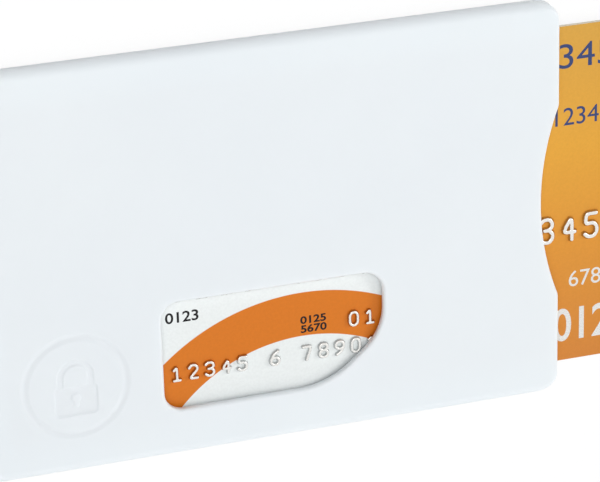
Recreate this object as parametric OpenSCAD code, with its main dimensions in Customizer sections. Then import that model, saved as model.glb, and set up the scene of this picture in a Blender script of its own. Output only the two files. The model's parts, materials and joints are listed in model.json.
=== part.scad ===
// Rigid two-part card sleeve with a thumb window, lined with metal shields, and the card that slides in it.
// Origin: centre of the back face. +X points out of the mouth, +Z out of the front face. Millimetres.

/* [Card] */
// Length of the card
card_len = 85.6; // [80:0.1:92]
// Width of the card
card_w = 53.98; // [50:0.01:60]
// Thickness of the card
card_t = 0.76; // [0.68:0.02:1]
// Corner radius of the card
card_corner_r = 3.18; // [2:0.01:4]
// How far the card stands out of the mouth
card_out = 15.15; // [0:0.05:60]
// Height of the raised digits above the card
emboss_h = 0.46; // [0.3:0.02:0.6]

/* [Sleeve] */
// Solid rim along each long side, beside the pocket
side_rim = 4.25; // [3.8:0.05:7]
// Solid rim at the closed end
end_rim = 4.9; // [3.8:0.1:9]
// Thickness of the front wall
front_wall = 0.85; // [0.6:0.05:1.4]
// Thickness of the back wall
back_wall = 0.85; // [0.6:0.05:1.4]
// Radius of the sleeve's corners, seen from the front
corner_r = 3.2; // [2.6:0.1:4]
// Clearance between the card's edge and the side of the pocket
side_gap = 0.26; // [0.1:0.02:0.6]
// Clearance behind the card when it is home
end_gap = 0.1; // [0.05:0.05:0.5]
// How far the card's end lies inside the mouth when it is home
home_inset = 0.4; // [0:0.1:1.5]
// Clearance between the raised digits and the front wall
top_gap = 0.08; // [0.05:0.01:0.3]
// Corner radius at the closed end of the pocket
pocket_corner_r = 1.5; // [0.5:0.1:2.5]
// Size of the lead-in chamfer at the mouth
lead_in = 0.25; // [0.1:0.05:0.4]

/* [Rails] */
// Height of the rails above the floor of the pocket
rail_h = 0.15; // [0.05:0.05:0.3]
// Width of each rail
rail_w = 1.2; // [0.8:0.1:2]
// Clearance between the card and the rails
rail_gap = 0.05; // [0.02:0.01:0.15]
// How far the rails stop short of the notch
rail_stop = 1.5; // [0.5:0.1:5]

/* [Finger notch] */
// Depth of the notch in the mouth
notch_depth = 2.83; // [1:0.05:6]
// Radius of the notch
notch_r = 42.3; // [25:0.1:60]

/* [Thumb window] */
// Length of the window
window_len = 34.3; // [28:0.1:44]
// Height of the window
window_h = 17.2; // [14:0.1:24]
// Distance from the closed end to the window
window_from_end = 28.56; // [24:0.02:34]
// Distance from the lower long side to the window
window_from_side = 7.35; // [6:0.05:12]
// Corner radius at the window's straight end
window_corner_r = 2.8; // [1:0.1:5]
// Radius of the upper corner at the window's sweeping end
window_top_r = 3.2; // [1:0.1:5]
// How much of the lower edge the sweeping corner takes
sweep_run = 8.8; // [6:0.1:12]
// How much of the end edge the sweeping corner takes
sweep_rise = 7.55; // [5:0.05:9]
// Radius at the upper end of the sweeping corner
sweep_upper_r = 8.5; // [3:0.1:9]
// Radius at the lower end of the sweeping corner
sweep_lower_r = 13; // [5:0.1:15]

/* [Badge] */
// Radius of the sunk ring, at the middle of its groove
badge_r = 7.66; // [5:0.02:9]
// Distance from the closed end to the centre of the ring
badge_from_end = 15.21; // [12:0.01:17]
// Distance from the lower long side to the centre of the ring
badge_from_side = 13.88; // [12:0.01:20]
// Radius of the groove's rounded bottom
groove_r = 1.2; // [0.4:0.05:1.5]
// Depth of the badge below the face
badge_depth = 0.15; // [0.08:0.01:0.25]
// Width of the padlock in the ring
lock_w = 6.4; // [4:0.1:7]
// Height of the padlock's body
lock_h = 4.6; // [3:0.1:5]
// Thickness of the padlock's shackle
shackle_t = 0.9; // [0.5:0.1:1.2]
// Length of the shackle's straight legs
shackle_leg = 1.4; // [0.5:0.1:2]
// Radius of the keyhole
keyhole_r = 0.7; // [0.4:0.05:0.9]
// Length of the keyhole's slot
keyhole_slot = 1.5; // [1:0.1:2]

/* [Locating pins] */
// Number of pins along each long side
pins_per_side = 3; // [2:1:5]
// Radius of each pin
pin_r = 0.7; // [0.5:0.05:0.8]
// Height of each pin above the joint
pin_h = 0.8; // [0.4:0.05:0.9]
// Clearance round each pin
pin_gap = 0.05; // [0.03:0.01:0.1]
// Distance from the pocket's side to a pin
pin_from_pocket = 1.6; // [1.4:0.05:1.8]
// Distance from each end of the sleeve to the first pin
pin_from_end = 8; // [7:0.5:14]

/* [Shields] */
// Thickness of each metal shield
shield_t = 0.15; // [0.1:0.01:0.2]
// How far a shield's face lies below the face of its wall
shield_sink = 0.05; // [0.02:0.01:0.1]
// Clearance round the edge of a shield
shield_gap = 0.1; // [0.05:0.01:0.2]
// Distance from a rail or the pocket's end to a shield
shield_margin = 0.5; // [0.3:0.1:3]
// Distance from the window or the notch to a shield
shield_edge = 1.2; // [0.8:0.1:3]

/* [Chip and antenna] */
// Length of the contact plate
plate_len = 12.6; // [11:0.1:13.5]
// Width of the contact plate
plate_w = 11.4; // [10:0.1:12]
// Thickness of the contact plate
plate_t = 0.08; // [0.06:0.01:0.12]
// Corner radius of the contact plate
plate_corner_r = 1.5; // [0.5:0.1:2]
// Distance from the card's left edge to the middle of the plate
plate_x = 15.06; // [14:0.01:17]
// Distance from the card's upper edge to the middle of the plate
plate_from_top = 23.89; // [20:0.01:26]
// Side of the square chip capsule
capsule_side = 7.6; // [6:0.1:9]
// Clearance round an inlaid piece
inlay_gap = 0.03; // [0.02:0.01:0.08]
// Number of turns of the antenna
coil_turns = 4; // [2:1:6]
// Distance between neighbouring turns
coil_pitch = 0.8; // [0.7:0.05:1.2]
// Width of the antenna's track
track_w = 0.4; // [0.2:0.05:0.5]
// Thickness of the antenna's track
track_t = 0.05; // [0.03:0.01:0.08]
// Depth of the antenna's turns below the joint of the two sheets
coil_sink = 0.02; // [0.01:0.01:0.05]
// Distance from the card's edge to the antenna
coil_inset = 2.4; // [1.6:0.1:4]

/* [Card back] */
// Width of the magnetic stripe
stripe_w = 10.3; // [8:0.1:12.7]
// Distance from the card's upper edge to the stripe
stripe_from_top = 5.5; // [4:0.1:7]
// Thickness of the stripe and of the signature panel
inlay_t = 0.08; // [0.05:0.01:0.12]
// Length of the signature panel
panel_len = 61; // [45:0.5:66]
// Width of the signature panel
panel_w = 9; // [6:0.5:12]
// Distance from the card's left edge to the signature panel
panel_x = 5.5; // [3:0.5:10]
// Distance from the stripe to the signature panel
panel_below_stripe = 4; // [2:0.5:8]

/* [Raised digits] */
// Height of the large digits, between the middles of their strokes
digit_h = 3.75; // [3:0.05:4.5]
// Width of the large digits, between the middles of their strokes
digit_w = 1.95; // [1.4:0.05:2.4]
// Distance from one large digit to the next
digit_pitch = 3.63; // [3.2:0.01:4]
// Distance from the card's left edge to the first large digit
number_x = 10.84; // [8:0.01:14]
// Distance from the card's lower edge to the middle of the large digits
number_y = 21.9; // [19:0.05:24]
// Width of a large digit's stroke
stroke_w = 0.55; // [0.35:0.05:0.7]
// Height of the small digits, between the middles of their strokes
small_h = 2.1; // [1.6:0.05:2.4]
// Width of the small digits, between the middles of their strokes
small_w = 1.25; // [0.9:0.05:1.5]
// Distance from one small digit to the next
small_pitch = 2.54; // [2.2:0.01:3]
// Distance from the card's left edge to the first small digit
row_x = 10.19; // [8:0.01:14]
// Distance from the card's lower edge to the middle of the lower row
row_y = 8.2; // [5:0.05:10]
// Distance from the card's left edge to the first digit of the date
date_x = 37.9; // [30:0.05:45]
// Distance from the card's lower edge to the middle of the date
date_y = 12.6; // [11.5:0.05:15]
// Width of a small digit's stroke
small_stroke_w = 0.36; // [0.25:0.01:0.45]

/* [Hidden] */
$fn = 96;
// Segments in each rounded corner of an outline
arc_steps = 12;
// Segments in each half of the notch
notch_steps = 16;
// Segments in the round end of a digit's stroke
stroke_steps = 24;
// Overshoot of a cutter past the face that it cuts
over = 1;
// How far a pin or rail reaches into the wall that it grows from
root = 0.3;

// Pocket and sleeve, from the card outwards
pocket_w = card_w + 2*side_gap;
pocket_len = end_gap + card_len + home_inset;
pocket_h = rail_h + rail_gap + card_t + emboss_h + top_gap;
sleeve_len = end_rim + pocket_len;
sleeve_w = pocket_w + 2*side_rim;
sleeve_t = back_wall + pocket_h + front_wall;
end_x = -sleeve_len/2;
mouth_x = sleeve_len/2;
side_y = sleeve_w/2;
pocket_x = end_x + end_rim;
pocket_top = sleeve_t - front_wall;
edge_r = sleeve_t/2;
split_z = sleeve_t/2;
notch_x = mouth_x - notch_depth + notch_r;

// Card at rest
card_x = mouth_x + card_out - card_len;
card_y = -card_w/2;
card_z = back_wall + rail_h + rail_gap;
sheet_t = card_t/2;
plate_y = card_w - plate_from_top;

// Shields
shield_x = pocket_x + shield_margin;
shield_half_w = pocket_w/2 - rail_w - shield_margin;
recess_t = shield_t + shield_sink;

// Antenna, counted from the middle of the card
coil_half_len = card_len/2 - coil_inset - coil_pitch;
coil_half_w = card_w/2 - coil_inset - coil_pitch;
chip_x = plate_x - card_len/2;
chip_y = plate_y - card_w/2;
// Places of the two leads where they meet the chip
lead_apart = capsule_side/2;
lead_low = chip_y - lead_apart/2;
lead_high = chip_y + lead_apart/2;
// Underside of the antenna's turns, and of the recess that they lie in
coil_z = sheet_t - track_t - coil_sink;

// Text of the raised rows: each entry is a digit, and -1 is a space
number_digits = [0, 1, 2, 3, -1, 4, 5, 6, 7, -1, 8, 9, 0, 1, -1, 2, 3, 4, 5];
row_digits = [1, 2, 3, 4, 5, -1, 6, -1, 7, 8, 9, 0, 1];
date_digits = [0, 1, -1, 2, 3];

// Strokes of each digit in a unit square, as chains of points
function turned(chain) = [for (p = chain) [1 - p[0], 1 - p[1]]];
function six() = [
    [[0.85, 1], [0.3, 0.78], [0, 0.42], [0, 0.18], [0.27, 0], [0.73, 0], [1, 0.17], [1, 0.38], [0.73, 0.55],
     [0.27, 0.55], [0, 0.42]]
];
function digit_chains() = [
    [[[0.3, 0], [0.7, 0], [1, 0.2], [1, 0.8], [0.7, 1], [0.3, 1], [0, 0.8], [0, 0.2], [0.3, 0]]],
    [[[0.15, 0.78], [0.52, 1], [0.52, 0]], [[0.15, 0], [0.9, 0]]],
    [[[0, 0.8], [0.27, 1], [0.73, 1], [1, 0.82], [1, 0.62], [0, 0], [1, 0]]],
    [[[0, 0.86], [0.27, 1], [0.73, 1], [0.97, 0.84], [0.97, 0.68], [0.7, 0.53], [0.35, 0.53]],
     [[0.7, 0.53], [1, 0.37], [1, 0.17], [0.73, 0], [0.27, 0], [0, 0.14]]],
    [[[0.76, 0], [0.76, 1], [0, 0.32], [1, 0.32]]],
    [[[0.92, 1], [0.1, 1], [0.04, 0.56], [0.7, 0.6], [1, 0.42], [1, 0.18], [0.73, 0], [0.27, 0], [0, 0.12]]],
    six(),
    [[[0, 1], [1, 1], [0.4, 0]]],
    [[[0.27, 0.54], [0.04, 0.69], [0.04, 0.86], [0.27, 1], [0.73, 1],
      [0.96, 0.86], [0.96, 0.69], [0.73, 0.54]],
     [[0.27, 0.54], [0, 0.37], [0, 0.16], [0.27, 0], [0.73, 0],
      [1, 0.16], [1, 0.37], [0.73, 0.54], [0.27, 0.54]]],
    [turned(six()[0])]
];

// Window corners, anticlockwise from the lower left: x, y, radius
window_left = end_x + window_from_end;
window_right = window_left + window_len;
window_low = -side_y + window_from_side;
window_high = window_low + window_h;
window_corners = [
    [window_left, window_low, window_corner_r],
    [window_right - sweep_run, window_low, sweep_lower_r],
    [window_right, window_low + sweep_rise, sweep_upper_r],
    [window_right, window_high, window_top_r],
    [window_left, window_high, window_corner_r]
];

function unit(v) = v/norm(v);
function xy(p) = [p[0], p[1]];

// Arc that rounds corner b between its neighbours a and c, anticlockwise
function corner_arc(a, b, c, r) =
    let (
        u = unit(a - b),
        v = unit(c - b),
        half = acos(u*v)/2,
        centre = b + unit(u + v)*r/sin(half),
        first = b + u*r/tan(half) - centre,
        start = atan2(first[1], first[0]),
        sweep = 180 - 2*half
    )
    [for (k = [0:arc_steps]) centre + r*[cos(start + sweep*k/arc_steps), sin(start + sweep*k/arc_steps)]];

// Outline of a convex polygon whose corners are given as x, y, radius
function rounded(corners) =
    let (n = len(corners))
    [for (i = [0:n - 1]) each corner_arc(
        xy(corners[(i + n - 1)%n]), xy(corners[i]), xy(corners[(i + 1)%n]), corners[i][2]
    )];

// The same corners moved outwards by d, with their radii grown by d
function grown(corners, d) =
    let (n = len(corners))
    [for (i = [0:n - 1])
        let (
            p = xy(corners[i]),
            before = unit(p - xy(corners[(i + n - 1)%n])),
            after = unit(xy(corners[(i + 1)%n]) - p),
            m = [before[1], -before[0]],
            k = [after[1], -after[0]],
            q = p + d*(m + k)/(1 + m*k)
        )
        [q[0], q[1], corners[i][2] + d]
    ];

// Corners of a rectangle from its lower left corner
function rectangle(x, y, l, w, r) = [[x, y, r], [x + l, y, r], [x + l, y + w, r], [x, y + w, r]];

module slab(corners, z, t) {
    translate([0, 0, z]) linear_extrude(t) polygon(rounded(corners));
}

// Sleeve with no pocket: half-round edges on three sides, a flat mouth
module edge_profile(reach) {
    translate([edge_r, 0]) square([reach - edge_r, sleeve_t]);
    translate([edge_r, edge_r]) circle(edge_r);
}

module puck() {
    rotate_extrude() {
        square([corner_r - edge_r, sleeve_t]);
        intersection() {
            translate([corner_r - edge_r, edge_r]) circle(edge_r);
            square([corner_r, sleeve_t]);
        }
    }
}

module mouth_corner_cut(side) {
    x = mouth_x - corner_r;
    y = side*(side_y - corner_r);
    difference() {
        translate([x, side > 0 ? y : y - corner_r - over, -over])
            cube([corner_r + over, corner_r + over, sleeve_t + 2*over]);
        translate([x, y, -2*over]) cylinder(r = corner_r, h = sleeve_t + 4*over);
    }
}

module sleeve_body() {
    difference() {
        union() {
            for (side = [-1, 1]) {
                translate([end_x + corner_r, side*side_y, 0])
                    rotate([90, 0, 90]) mirror([side > 0 ? 1 : 0, 0, 0])
                        linear_extrude(sleeve_len - corner_r) edge_profile(side_y);
                translate([end_x + corner_r, side*(side_y - corner_r), 0]) puck();
            }
            translate([end_x, side_y - corner_r, 0])
                rotate([90, 0, 0]) linear_extrude(2*(side_y - corner_r)) edge_profile(2*corner_r);
        }
        for (side = [-1, 1]) mouth_corner_cut(side);
    }
}

module half_body(z, t) {
    intersection() {
        sleeve_body();
        translate([end_x - over, -side_y - over, z]) cube([sleeve_len + 2*over, sleeve_w + 2*over, t]);
    }
}

module pocket(z, t) {
    reach = pocket_len + 2*pocket_corner_r + over;
    slab(rectangle(pocket_x, -pocket_w/2, reach, pocket_w, pocket_corner_r), z, t);
}

// Outline of the notch, an arc that reaches past the mouth, with its radius grown by d
function notch_outline(d) =
    let (
        r = notch_r + d,
        reach = acos((notch_x - mouth_x - over)/r)
    )
    [for (k = [-notch_steps:notch_steps])
        [notch_x - r*cos(reach*k/notch_steps), -r*sin(reach*k/notch_steps)]];

module notch_cut(z) {
    translate([0, 0, z]) linear_extrude(sleeve_t) polygon(notch_outline(0));
}

// Wedge that widens the mouth of the pocket against one wall
module lead_in_cut(z, up) {
    translate([mouth_x, pocket_w/2, z]) mirror([0, 0, up ? 0 : 1])
        rotate([90, 0, 0]) linear_extrude(pocket_w)
            polygon([[-lead_in, -lead_in], [over, -lead_in], [over, lead_in + over], [-lead_in, 0]]);
}

function pin_places() = [
    for (i = [0:pins_per_side - 1], side = [-1, 1])
        [end_x + pin_from_end + i*(sleeve_len - 2*pin_from_end)/(pins_per_side - 1),
         side*(pocket_w/2 + pin_from_pocket)]
];

module pins(r, z, h) {
    for (p = pin_places()) translate([p[0], p[1], z]) cylinder(r = r, h = h);
}

// Outline of a shield, grown by its clearance to make its recess
module shield_outline(grow) {
    difference() {
        translate([shield_x - grow, -shield_half_w - grow])
            square([mouth_x - shield_x + 2*over, 2*(shield_half_w + grow)]);
        polygon(notch_outline(shield_edge - grow));
        translate([mouth_x - shield_edge + grow, -sleeve_w/2]) square([sleeve_w, sleeve_w]);
    }
}

module front_shield_outline(grow) {
    difference() {
        shield_outline(grow);
        polygon(rounded(grown(window_corners, shield_edge - grow)));
    }
}

// Sunk ring with a padlock in it
module badge_cut() {
    shackle_out = lock_w/2 - shackle_t/2;
    keyhole_y = (keyhole_slot - keyhole_r - lock_h)/2;
    translate([end_x + badge_from_end, -side_y + badge_from_side, sleeve_t - badge_depth]) {
        rotate_extrude() translate([badge_r, groove_r]) circle(groove_r);
        linear_extrude(badge_depth + over) {
            difference() {
                translate([-lock_w/2, -lock_h]) square([lock_w, lock_h]);
                translate([0, keyhole_y]) circle(keyhole_r);
                translate([-keyhole_r/2, keyhole_y - keyhole_slot]) square([keyhole_r, keyhole_slot]);
            }
            for (side = [-1, 1]) translate([side*(shackle_out - shackle_t/2) - shackle_t/2, 0])
                square([shackle_t, shackle_leg]);
            translate([0, shackle_leg]) difference() {
                circle(shackle_out);
                circle(shackle_out - shackle_t);
                translate([-lock_w, -2*lock_w]) square(2*lock_w);
            }
        }
    }
}

module front_shell() {
    color("whitesmoke") difference() {
        half_body(split_z, sleeve_t - split_z);
        badge_cut();
        pocket(split_z - over, pocket_top - split_z + over);
        lead_in_cut(pocket_top, true);
        notch_cut(split_z - over);
        slab(window_corners, split_z - over, sleeve_t);
        translate([0, 0, pocket_top - over]) linear_extrude(recess_t + over)
            front_shield_outline(shield_gap);
        pins(pin_r + pin_gap, split_z - over, pin_h + pin_gap + over);
    }
}

module back_shell() {
    rail_len = mouth_x - notch_depth - rail_stop - pocket_x;
    color("whitesmoke") union() {
        difference() {
            half_body(0, split_z);
            pocket(back_wall, split_z - back_wall + over);
            lead_in_cut(back_wall, false);
            notch_cut(-over);
            translate([0, 0, back_wall - recess_t]) linear_extrude(recess_t + over)
                shield_outline(shield_gap);
        }
        for (side = [-1, 1])
            translate([pocket_x, side > 0 ? pocket_w/2 - rail_w : -pocket_w/2, back_wall - root])
                cube([rail_len, rail_w, rail_h + root]);
        pins(pin_r, split_z - root, pin_h + root);
    }
}

module front_shield() {
    color("silver") translate([0, 0, pocket_top + recess_t - shield_t])
        linear_extrude(shield_t) front_shield_outline(0);
}

module back_shield() {
    color("silver") translate([0, 0, back_wall - recess_t]) linear_extrude(shield_t) shield_outline(0);
}

// Places its children on the card, with x and y from the card's lower left corner and z from its back
module on_card() {
    translate([card_x, card_y, card_z]) children();
}

module card_slab(z, t) {
    slab(rectangle(0, 0, card_len, card_w, card_corner_r), z, t);
}

module plate_shape(grow, z, t) {
    slab(rectangle(plate_x - plate_len/2 - grow, plate_y - plate_w/2 - grow,
        plate_len + 2*grow, plate_w + 2*grow, plate_corner_r + grow), z, t);
}

module capsule_shape(grow, z, t) {
    side = capsule_side + 2*grow;
    translate([plate_x - side/2, plate_y - side/2, z]) cube([side, side, t]);
}

// A straight stretch of track between two points that share x or y, from z upwards
module track(a, b, z, t, grow) {
    w = track_w/2 + grow;
    translate([min(a[0], b[0]) - w, min(a[1], b[1]) - w, z])
        cube([abs(a[0] - b[0]) + 2*w, abs(a[1] - b[1]) + 2*w, t]);
}

// Half length and half width of turn i of the antenna
function half_len(i) = coil_half_len - i*coil_pitch;
function half_w(i) = coil_half_w - i*coil_pitch;

module coil_turns_shape(z, t, grow) {
    last = coil_turns - 1;
    for (i = [0:last]) {
        track([-half_len(i - 1), -half_w(i)], [half_len(i), -half_w(i)], z, t, grow);
        track([half_len(i), -half_w(i)], [half_len(i), half_w(i)], z, t, grow);
        track([half_len(i), half_w(i)], [-half_len(i), half_w(i)], z, t, grow);
        track([-half_len(i), half_w(i)], [-half_len(i), i == last ? lead_high : -half_w(i + 1)], z, t, grow);
    }
    track([-half_len(last), lead_high], [chip_x, lead_high], z, t, grow);
    track([-half_len(-1), lead_low], [-half_len(-1), -half_w(0)], z, t, grow);
}

module card_front_sheet() {
    color("darkorange") on_card() difference() {
        card_slab(sheet_t, sheet_t);
        plate_shape(inlay_gap, card_t - plate_t, plate_t + over);
        capsule_shape(inlay_gap, sheet_t - over, sheet_t + over);
        translate([card_len/2, card_w/2, 0])
            track([-half_len(-1), lead_low], [chip_x, lead_low], sheet_t - over, track_t + over, inlay_gap);
    }
}

module card_back_sheet() {
    color("moccasin") on_card() difference() {
        card_slab(0, sheet_t);
        stripe_shape(inlay_gap, -over, inlay_t + over);
        panel_shape(inlay_gap, -over, inlay_t + over);
        translate([card_len/2, card_w/2, 0])
            coil_turns_shape(coil_z, sheet_t - coil_z + over, inlay_gap);
    }
}

module contact_plate() {
    color("gold") on_card() plate_shape(0, card_t - plate_t, plate_t);
}

module chip_capsule() {
    color("dimgray") on_card() capsule_shape(0, sheet_t + track_t, sheet_t - plate_t - track_t);
}

module antenna_coil() {
    color("peru") on_card() translate([card_len/2, card_w/2, 0]) {
        coil_turns_shape(coil_z, track_t, 0);
        track([-half_len(-1), lead_low], [chip_x, lead_low], sheet_t, track_t, 0);
        for (p = [[-half_len(-1), lead_low], [chip_x, lead_high]])
            track(p, p, coil_z, sheet_t - coil_z + track_t, 0);
    }
}

module stripe_shape(grow, z, t) {
    translate([grow > 0 ? -over : 0, card_w - stripe_from_top - stripe_w - grow, z])
        cube([card_len + (grow > 0 ? 2*over : 0), stripe_w + 2*grow, t]);
}

module panel_shape(grow, z, t) {
    translate([panel_x - grow, card_w - stripe_from_top - stripe_w - panel_below_stripe - panel_w - grow, z])
        cube([panel_len + 2*grow, panel_w + 2*grow, t]);
}

module magnetic_stripe() {
    color("black") on_card() stripe_shape(0, 0, inlay_t);
}

module signature_panel() {
    color("white") on_card() panel_shape(0, 0, inlay_t);
}

module stroke(a, b, w) {
    d = b - a;
    translate(a) rotate(atan2(d[1], d[0])) translate([0, -w/2]) square([norm(d), w]);
    translate(b) circle(w/2, $fn = stroke_steps);
}

module digit(n, w, h, line_w) {
    for (chain = digit_chains()[n]) {
        points = [for (p = chain) [(p[0] - 0.5)*w, (p[1] - 0.5)*h]];
        translate(points[0]) circle(line_w/2, $fn = stroke_steps);
        for (i = [1:len(points) - 1]) stroke(points[i - 1], points[i], line_w);
    }
}

module raised_line(digits, x, y, pitch, w, h, line_w) {
    for (i = [0:len(digits) - 1]) if (digits[i] >= 0)
        translate([x + i*pitch, y, card_t]) linear_extrude(emboss_h) digit(digits[i], w, h, line_w);
}

module raised_number() {
    color("ivory") on_card()
        raised_line(number_digits, number_x, number_y, digit_pitch, digit_w, digit_h, stroke_w);
}

module raised_rows() {
    color("ivory") on_card() {
        raised_line(row_digits, row_x, row_y, small_pitch, small_w, small_h, small_stroke_w);
        raised_line(date_digits, date_x, date_y, small_pitch, small_w, small_h, small_stroke_w);
    }
}

front_shell();
back_shell();
front_shield();
back_shield();
card_front_sheet();
card_back_sheet();
contact_plate();
chip_capsule();
antenna_coil();
magnetic_stripe();
signature_panel();
raised_number();
raised_rows();
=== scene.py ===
# Looks of a rigid card sleeve lined with metal shields, and of the card that slides in it
import functools
import json
import math

import bmesh
import bpy
import numpy as np
from mathutils import Matrix, Vector
from mathutils.geometry import tessellate_polygon

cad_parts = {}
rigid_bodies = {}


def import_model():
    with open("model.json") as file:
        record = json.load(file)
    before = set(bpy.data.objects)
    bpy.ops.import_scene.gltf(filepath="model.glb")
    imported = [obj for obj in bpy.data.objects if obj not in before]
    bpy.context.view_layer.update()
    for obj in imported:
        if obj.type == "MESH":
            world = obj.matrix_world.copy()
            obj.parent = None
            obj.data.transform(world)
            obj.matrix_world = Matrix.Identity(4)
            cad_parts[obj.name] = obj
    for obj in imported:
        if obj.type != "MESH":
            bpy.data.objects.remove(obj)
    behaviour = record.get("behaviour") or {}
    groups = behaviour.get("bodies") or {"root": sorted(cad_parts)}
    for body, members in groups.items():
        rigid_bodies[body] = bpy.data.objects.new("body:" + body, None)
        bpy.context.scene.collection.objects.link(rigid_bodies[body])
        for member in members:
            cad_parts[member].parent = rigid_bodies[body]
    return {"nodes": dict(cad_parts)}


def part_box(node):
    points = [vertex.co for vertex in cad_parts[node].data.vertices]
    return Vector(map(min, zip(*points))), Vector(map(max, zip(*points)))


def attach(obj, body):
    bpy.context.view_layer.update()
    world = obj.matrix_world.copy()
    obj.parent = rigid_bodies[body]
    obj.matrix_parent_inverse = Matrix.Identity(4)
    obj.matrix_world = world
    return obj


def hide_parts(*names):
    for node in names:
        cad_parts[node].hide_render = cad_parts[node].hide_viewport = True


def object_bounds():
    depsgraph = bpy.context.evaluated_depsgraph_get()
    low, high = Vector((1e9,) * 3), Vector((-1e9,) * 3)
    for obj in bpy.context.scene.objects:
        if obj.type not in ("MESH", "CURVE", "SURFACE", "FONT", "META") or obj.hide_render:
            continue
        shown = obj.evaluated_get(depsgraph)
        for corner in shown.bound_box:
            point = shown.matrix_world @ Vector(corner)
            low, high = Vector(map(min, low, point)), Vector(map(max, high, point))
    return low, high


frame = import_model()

bl_info = {
    "name": "Card sleeve",
    "version": (1, 0, 0),
    "blender": (4, 5, 0),
    "location": "View3D > Sidebar > Card sleeve",
    "description": "Builds a rigid card sleeve, its shields and the card that slides in it",
    "category": "Add Mesh",
}

CAD_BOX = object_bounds()
MM = 0.001
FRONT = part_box("front_shell")
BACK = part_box("back_shell")
CARD = (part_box("card_back_sheet")[0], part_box("card_front_sheet")[1])

# How far a cutting shape reaches past what it cuts, and how deep a joined shape starts inside
PAST = 1 * MM
BEDDED = 0.3 * MM


# Properties

def length(name, description, default):
    """A length whose default is given in millimetres."""
    return bpy.props.FloatProperty(
        name=name, description=description, default=default * MM, min=0.0, unit="LENGTH", precision=5)


def colour(name, description, default):
    return bpy.props.FloatVectorProperty(
        name=name, description=description, default=default, size=3, subtype="COLOR", min=0.0, max=1.0)


def number(name, description, default, low=0.0, high=10.0):
    return bpy.props.FloatProperty(
        name=name, description=description, default=default, min=low, max=high)


def whole(name, description, default):
    return bpy.props.IntProperty(name=name, description=description, default=default, min=1, max=64)


class SleeveSizes(bpy.types.PropertyGroup):
    """Sizes of the two mouldings"""
    corner: length("Corner radius", "Radius of the four corners, seen from the front", 3.2)
    side_edge: length("Side edge", "Edge radius along the long sides and the closed end", 1.5)
    mouth_edge: length("Mouth edge", "Edge radius along the mouth and the notch", 0.28)
    seam: length("Seam", "Chamfer of each moulding at the joint between them", 0.03)
    wall: length("Wall", "Thickness of the front and the back wall", 0.85)
    rim: length("Side rim", "Solid rim beside the pocket", 4.25)
    end_rim: length("End rim", "Solid rim at the closed end", 4.9)
    pocket_corner: length("Pocket corner", "Corner radius at the pocket's closed end", 1.5)
    pocket_fillet: length("Pocket fillet", "Fillet between the pocket's walls and its ceiling or floor", 0.2)
    lead_in: length("Lead-in", "Chamfer that widens the mouth of the pocket", 0.25)
    notch_depth: length("Notch depth", "Depth of the finger notch", 2.83)
    notch_radius: length("Notch radius", "Radius of the finger notch", 42.3)
    notch_blend: length("Notch blend", "Radius where the notch runs into the mouth", 2.6)
    rail_height: length("Rail height", "Height of the rails above the pocket's floor", 0.15)
    rail_width: length("Rail width", "Width of each rail", 1.2)
    rail_stop: length("Rail stop", "How far the rails stop short of the notch", 1.5)
    pin: length("Pin radius", "Radius of the locating pins", 0.7)
    pin_height: length("Pin height", "Height of the pins above the joint", 0.8)
    pin_gap: length("Pin gap", "Clearance round each pin", 0.05)
    pin_from_pocket: length("Pin from pocket", "Distance from the pocket's side to a pin", 1.6)
    pin_from_end: length("Pin from end", "Distance from each end to the first pin", 8)
    recess: length("Recess", "Depth of the recess that holds a shield", 0.2)
    shield_gap: length("Shield gap", "Clearance round a shield", 0.1)
    shield_margin: length("Shield margin", "Distance from a rail or the pocket's end to a shield", 0.5)
    shield_edge: length("Shield edge", "Distance from the window or the notch to a shield", 1.2)


class WindowSizes(bpy.types.PropertyGroup):
    """Sizes of the thumb window"""
    from_end: length("From end", "Distance from the closed end to the window", 28.56)
    from_side: length("From side", "Distance from the lower long side to the window", 7.35)
    run: length("Length", "Length of the window", 34.3)
    rise: length("Height", "Height of the window", 17.2)
    corner: length("Corner radius", "Corner radius at the straight end", 2.8)
    top: length("Top radius", "Radius of the upper corner at the sweeping end", 3.2)
    sweep_run: length("Sweep run", "How much of the lower edge the sweep takes", 8.8)
    sweep_rise: length("Sweep rise", "How much of the end edge the sweep takes", 7.55)
    sweep_upper: length("Upper sweep", "Radius at the upper end of the sweep", 8.5)
    sweep_lower: length("Lower sweep", "Radius at the lower end of the sweep", 13)
    lip: length("Lip", "Radius of the window's rim", 0.5)


class BadgeSizes(bpy.types.PropertyGroup):
    """Sizes of the sunk ring and padlock"""
    depth: length("Depth", "Depth of the badge below the face", 0.15)
    from_end: length("From end", "Distance from the closed end to the ring's centre", 15.21)
    from_side: length("From side", "Distance from the lower long side to the ring's centre", 13.88)
    ring: length("Ring radius", "Radius of the ring at the middle of its groove", 7.66)
    groove: length("Groove", "Half the width of the ring's groove", 0.8)
    lock_width: length("Lock width", "Width of the padlock", 6.4)
    lock_height: length("Lock height", "Height of the padlock's body", 4.6)
    lock_corner: length("Lock corner", "Corner radius of the padlock's body", 0.7)
    shackle: length("Shackle", "Thickness of the shackle", 0.9)
    shackle_leg: length("Shackle leg", "Length of the shackle's straight legs", 1.4)
    keyhole: length("Keyhole", "Radius of the keyhole", 0.7)
    keyhole_slot: length("Keyhole slot", "Length of the keyhole's slot", 1.5)
    soft: length("Soft edge", "Width of the slope round the sunk shapes", 0.38)


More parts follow.
